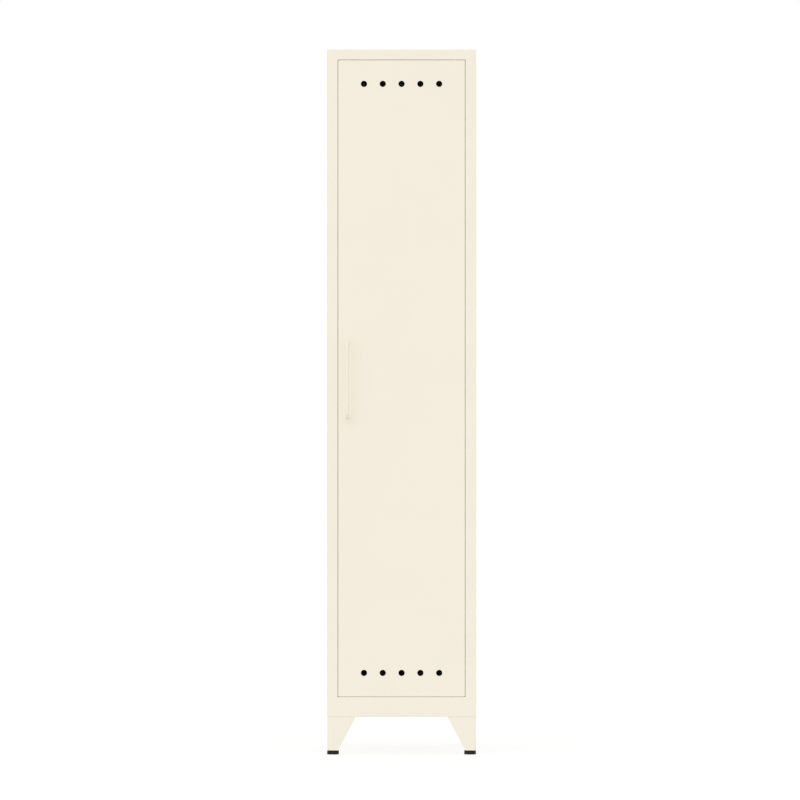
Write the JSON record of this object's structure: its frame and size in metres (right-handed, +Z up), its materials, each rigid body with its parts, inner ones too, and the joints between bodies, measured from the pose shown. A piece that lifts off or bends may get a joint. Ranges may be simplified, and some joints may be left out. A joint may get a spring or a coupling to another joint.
{
  "type": "metal locker",
  "caption": "Tall, narrow steel locker with a flush vented door, a bow handle, a hat shelf and coat rail inside, and tapered legs on levelling feet.",
  "frame": {"origin": "on the floor, in the middle of the overall box of cabinet and handle", "axes": "+Z up, +X to the right of someone facing the door, -Y out of the door's face"},
  "size_m": [0.381, 0.51, 1.8],
  "materials": {
    "powder_coated_steel": "cream powder coat, satin, fine orange peel",
    "zinc_plated_steel": "bright zinc plating, satin",
    "black_plastic": "moulded, matt",
    "white_nylon": "moulded, waxy",
    "chromed_tube": "bright chrome",
    "grey_rubber": "soft, matt",
    "ferrite_magnet": "ground ferrite, dull"
  },
  "bodies": {
    "cabinet": {"base_pan": "powder_coated_steel", "left_side_panel": "powder_coated_steel", "right_side_panel": "powder_coated_steel", "top_cap": "powder_coated_steel", "back_panel": "powder_coated_steel", "lower_pivot_pin": "zinc_plated_steel", "upper_pivot_pin": "zinc_plated_steel", "catch_magnets": "ferrite_magnet", "catch_pole_plates": "zinc_plated_steel", "catch_screws": "zinc_plated_steel", "door_buffers": "grey_rubber", "hat_shelf": "powder_coated_steel", "left_shelf_support": "powder_coated_steel", "right_shelf_support": "powder_coated_steel", "shelf_screws": "zinc_plated_steel", "coat_rail": "chromed_tube", "rail_end_caps": "black_plastic", "left_rail_hanger": "zinc_plated_steel", "right_rail_hanger": "zinc_plated_steel", "rail_hanger_bolts": "zinc_plated_steel", "rail_hanger_nuts": "zinc_plated_steel", "corner_plates": "powder_coated_steel", "leg_bolts": "zinc_plated_steel", "leg_nuts": "zinc_plated_steel", "foot_plates": "powder_coated_steel", "weld_nuts": "powder_coated_steel", "lower_catch_housing": "white_nylon", "upper_catch_housing": "white_nylon", "front_left_leg": "powder_coated_steel", "front_right_leg": "powder_coated_steel", "rear_left_leg": "powder_coated_steel", "rear_right_leg": "powder_coated_steel"},
    "door": {"door_panel": "powder_coated_steel", "door_stiffener": "powder_coated_steel", "lower_pivot_block": "white_nylon", "upper_pivot_block": "white_nylon", "handle": "powder_coated_steel", "handle_washers": "zinc_plated_steel", "handle_screws": "zinc_plated_steel"},
    "front_left_foot_pad": {"front_left_foot_pad": "black_plastic"},
    "front_left_foot_stud": {"front_left_foot_stud": "zinc_plated_steel"},
    "front_right_foot_pad": {"front_right_foot_pad": "black_plastic"},
    "front_right_foot_stud": {"front_right_foot_stud": "zinc_plated_steel"},
    "rear_left_foot_pad": {"rear_left_foot_pad": "black_plastic"},
    "rear_left_foot_stud": {"rear_left_foot_stud": "zinc_plated_steel"},
    "rear_right_foot_pad": {"rear_right_foot_pad": "black_plastic"},
    "rear_right_foot_stud": {"rear_right_foot_stud": "zinc_plated_steel"}
  },
  "joints": [
    {"name": "door_hinge", "type": "hinge", "parent": "cabinet", "child": "door", "pos_m": [0.13709, -0.2195, 0.96035], "axis": [0, 0, 1], "range_deg": [0, 130]},
    {"name": "front_left_foot_travel", "type": "slide", "parent": "cabinet", "child": "front_left_foot_pad", "axis": [0, 0, -1], "range_m": [0, 0.012]},
    {"name": "front_left_foot_turn", "type": "hinge", "parent": "front_left_foot_pad", "child": "front_left_foot_stud", "pos_m": [-0.1751, -0.2096, 0.0106], "axis": [0, 0, -1], "range_deg": [0, 3450]},
    {"name": "front_right_foot_travel", "type": "slide", "parent": "cabinet", "child": "front_right_foot_pad", "axis": [0, 0, -1], "range_m": [0, 0.012]},
    {"name": "front_right_foot_turn", "type": "hinge", "parent": "front_right_foot_pad", "child": "front_right_foot_stud", "pos_m": [0.1751, -0.2096, 0.0106], "axis": [0, 0, -1], "range_deg": [0, 3450]},
    {"name": "rear_left_foot_travel", "type": "slide", "parent": "cabinet", "child": "rear_left_foot_pad", "axis": [0, 0, -1], "range_m": [0, 0.012]},
    {"name": "rear_left_foot_turn", "type": "hinge", "parent": "rear_left_foot_pad", "child": "rear_left_foot_stud", "pos_m": [-0.1751, 0.2396, 0.0106], "axis": [0, 0, -1], "range_deg": [0, 3450]},
    {"name": "rear_right_foot_travel", "type": "slide", "parent": "cabinet", "child": "rear_right_foot_pad", "axis": [0, 0, -1], "range_m": [0, 0.012]},
    {"name": "rear_right_foot_turn", "type": "hinge", "parent": "rear_right_foot_pad", "child": "rear_right_foot_stud", "pos_m": [0.1751, 0.2396, 0.0106], "axis": [0, 0, -1], "range_deg": [0, 3450]}
  ],
  "couplings": [
    {"joint": "front_left_foot_travel", "follows": "front_left_foot_turn", "m_per_rad": 0.00019894},
    {"joint": "front_right_foot_travel", "follows": "front_right_foot_turn", "m_per_rad": 0.00019894},
    {"joint": "rear_left_foot_travel", "follows": "rear_left_foot_turn", "m_per_rad": 0.00019894},
    {"joint": "rear_right_foot_travel", "follows": "rear_right_foot_turn", "m_per_rad": 0.00019894}
  ]
}
